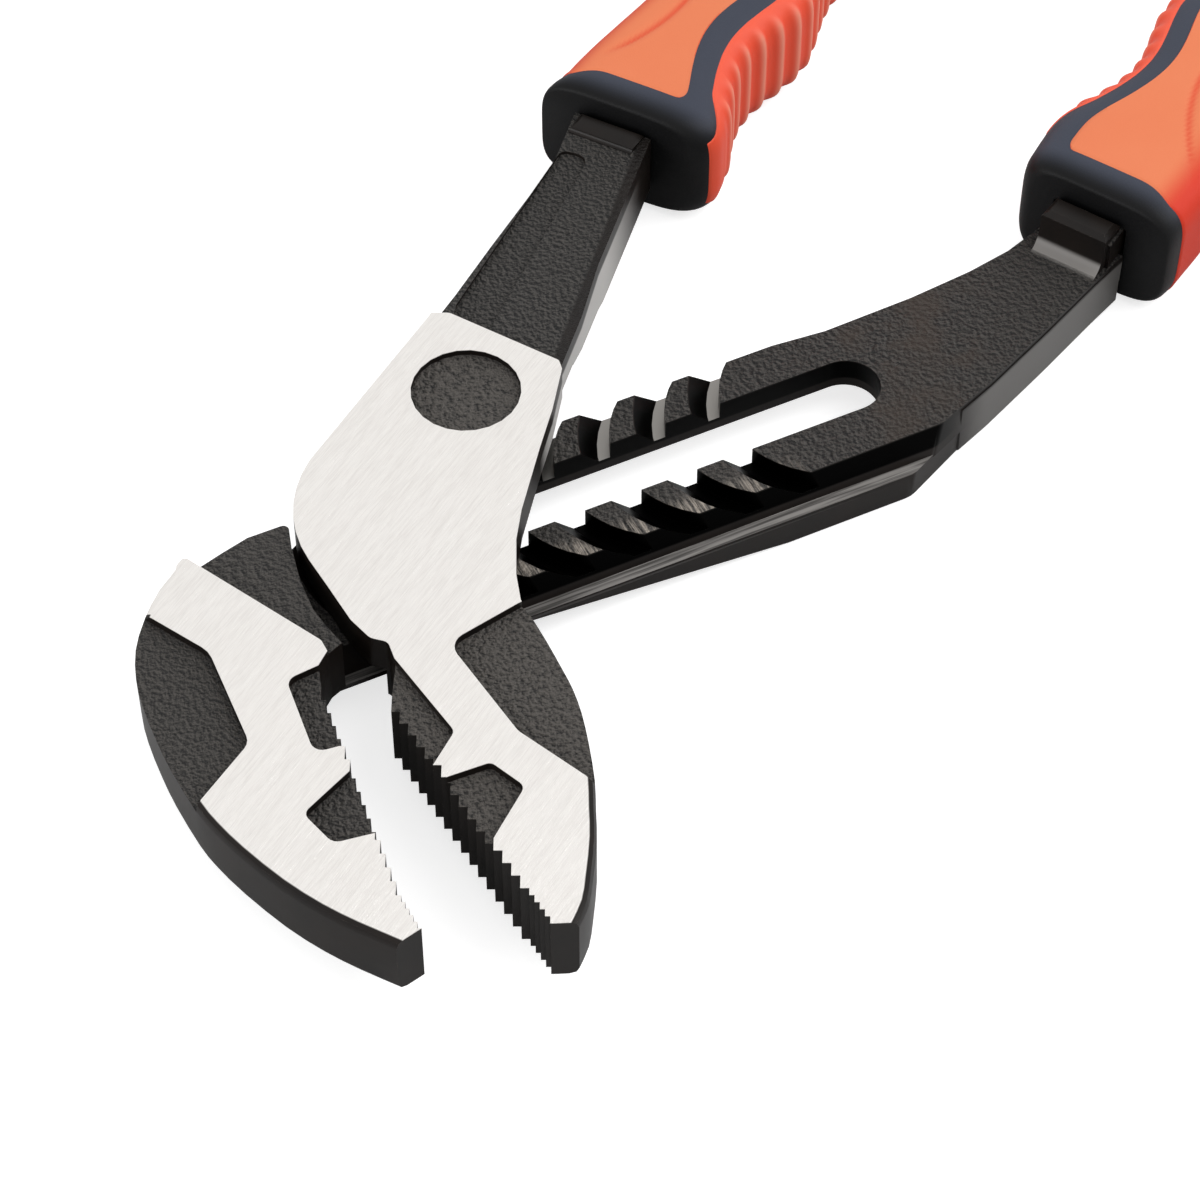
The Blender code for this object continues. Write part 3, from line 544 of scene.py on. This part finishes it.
def cover(grip, name):
    """The palm cover: rounded corners, edges that roll over, and one pressed crease on each face."""
    count = 97
    first_t, last_t = COVER_RANGE
    corner_long, corner_turn = 2.6, 10.0
    sections, reds = [], []
    for t in stations(first_t, last_t, 0.6, corner_long):
        from_end = min(t - first_t, last_t - t)
        near = 1 - min(from_end / corner_long, 1.0)
        first = cover_edge(t, grip) + corner_turn * (1 - sqrt(1 - near * near))
        angles = even_angles(first, 360 - first, count)
        border = np.interp(angles, ANGLES, LENGTHS)
        outside, inside, painted_shade = [], [], []
        for a, place in zip(angles, border):
            lean = -1.6 * smooth((min(a, 360 - a) - 95) / 35) * smooth(1 - (t - first_t) / 12)
            from_side = min(place - border[0], border[-1] - place)
            side = squared_round(a, inner_half(t, grip), outer_half(t, grip), GRIP_HALF)[0]
            deep = min(rolled(from_side) + rolled(from_end), ROLL_DEPTH)
            outside.append(grip_ring(grip, t + lean, a, deep + 0.3 * crease(t, side, grip["waist"], 1.3)))
            inside.append(grip_ring(grip, t + lean, a, SHELL_DEPTH))
            # Painted shade: deeper red down the shoulder and along the crease
            painted_shade.append(max(shoulder_shade(t, side, grip), 0.7 * crease(t, side, grip["waist"], 0.8)))
        sections.append(outside + inside[::-1])
        reds.append(painted_shade + [0.0] * count)
    return loft(name, sections, reds)


def pad(grip, name):
    """The finger pad: a plain band and then a row of ribs across the fingers' side."""
    count = 41
    first_t, last_t = grip["waist"] - PAD_LEAD, PAD_END
    sections, crests = [], []
    for t in stations(first_t, last_t, 0.3, 1.0):
        from_end = min(t - first_t, last_t - t)
        reach = pad_edge(t, grip) - 1.0
        angles = even_angles(360 - reach, 360 + reach, count)
        border = np.interp(angles, ANGLES, LENGTHS)
        wave = 0.5 + 0.5 * cos(2 * pi * (t - first_t) / RIB_PITCH)
        wave = wave ** 1.4 * smooth((t - first_t - 3.5) / 4) * smooth(from_end / 3)
        outside, inside, crest_highlight = [], [], []
        for a, place in zip(angles, border):
            from_side = min(place - border[0], border[-1] - place)
            rib = wave * smooth(from_side / 4)
            deep = min(rolled(from_side) + rolled(from_end), ROLL_DEPTH)
            outside.append(grip_ring(grip, t, a, deep - RIB_HEIGHT * rib))
            inside.append(grip_ring(grip, t, a, SHELL_DEPTH))
            # Painted highlight: the ribs' crests get the lighter colour
            crest_highlight.append(rib ** 3)
        sections.append(outside + inside[::-1])
        crests.append(crest_highlight + [0.0] * count)
    return loft(name, sections, crests)


def add_camera():
    """The photograph's camera."""
    turn, lift = radians(CAMERA_AZIMUTH), radians(CAMERA_ELEVATION)
    look = Vector((-sin(turn) * cos(lift), cos(turn) * cos(lift), -sin(lift)))
    camera = bpy.data.objects.new("camera", bpy.data.cameras.new("camera"))
    camera.location = (Vector(CAMERA_TARGET) - look * CAMERA_DISTANCE) * MM
    camera.rotation_euler = look.to_track_quat("-Z", "Y").to_euler()
    camera.data.lens = CAMERA_LENS
    camera.data.sensor_width = 36.0
    camera.data.clip_start = 0.01
    bpy.context.scene.collection.objects.link(camera)
    bpy.context.scene.camera = camera


def add_table():
    """A table that the pliers lie on, white where it is seen and duller where it lights them."""
    mesh = bpy.data.meshes.new("table")
    reach = 3.0
    corners = [(-reach, -reach, 0), (reach, -reach, 0), (reach, reach, 0), (-reach, reach, 0)]
    mesh.from_pydata(corners, [], [(0, 1, 2, 3)])
    table = bpy.data.objects.new("table", mesh)
    bpy.context.scene.collection.objects.link(table)
    made, tree = new_material("white matt laminate")
    colour = add(tree, "MixRGB", {0: background_rays(tree), 1: linear("#9A9A9A"), 2: linear("#D2D2D2")})
    lift = mask(tree, add(tree, "LightPath").outputs["Is Camera Ray"], 0.7)
    close_material(tree, {"Base Color": colour, "Roughness": 0.9, "Specular IOR Level": 0.0,
                          "Emission Color": linear("#FFFFFF"), "Emission Strength": lift})
    paint(table, made)


def add_lamp(name, place, size, power):
    """A flat lamp that faces the pivot."""
    lamp = bpy.data.objects.new(name, bpy.data.lights.new(name, "AREA"))
    lamp.data.shape = "RECTANGLE"
    lamp.data.size, lamp.data.size_y = size
    lamp.data.energy = power
    lamp.location = place
    lamp.rotation_euler = (-Vector(place)).to_track_quat("-Z", "Y").to_euler()
    bpy.context.scene.collection.objects.link(lamp)


def add_light():
    """A white tent, brightest overhead, with a soft box on the right and a card on each side."""
    world = bpy.data.worlds.new("white tent")
    bpy.context.scene.world = world
    world.use_nodes = True
    tree = world.node_tree
    tree.nodes.clear()
    overhead = mask(tree, (add(tree, "SeparateXYZ", {0: add(tree, "TexCoord")}).outputs[2], 0.05, 0.6))
    lit = add(tree, "MapRange", {0: overhead, 3: 0.15, 4: 0.74})
    glow = add(tree, "MixRGB", {0: background_rays(tree), 1: lit, 2: linear("#FFFFFF")})
    sky = add(tree, "Background", {"Color": linear("#FFFFFF"), "Strength": glow})
    add(tree, "OutputWorld", {"Surface": sky})
    for name, settings in LAMPS.items():
        add_lamp(name, *settings)


shading = curved_wall_shading()
rubbed_edge = rubbed_edge_steel()
for lever, trimmed_and_lit in SHEARED_AND_LIT.items():
    steel = forged_lever_steel(lever.replace("_", " ") + " forged steel", trimmed_and_lit)
    paint(nodes[lever], steel, rubbed_edge)
    soften(nodes[lever], EDGE_ROUND, shading)
lathe = turned_steel("turned steel, lathe rings", "#A9A7A3", "#C6C3BE")
for item in ("slide_bush", "pivot_stud"):
    paint(nodes[item], lathe)
paint(nodes["pivot_nut"], turned_steel("turned steel, blackened", "#23211F", "#353230"))

rubbers = {slot: grip_rubber(*recipe) for slot, recipe in RUBBERS.items()}
MOULDINGS = ((sleeve, "grip_sleeve", "navy_rubber"), (cover, "palm_cover", "orange_rubber"),
             (pad, "finger_pad", "red_rubber"))
for side, grip in GRIPS.items():
    for make, solid, rubber in MOULDINGS:
        piece = make(grip, f"{side}_moulded_{solid}")
        paint(piece, rubbers[rubber])
        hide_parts(f"{side}_{solid}")
        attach(piece, f"{side}_half")

add_camera()
add_table()
add_light()
bpy.context.scene.view_settings.view_transform = "Standard"
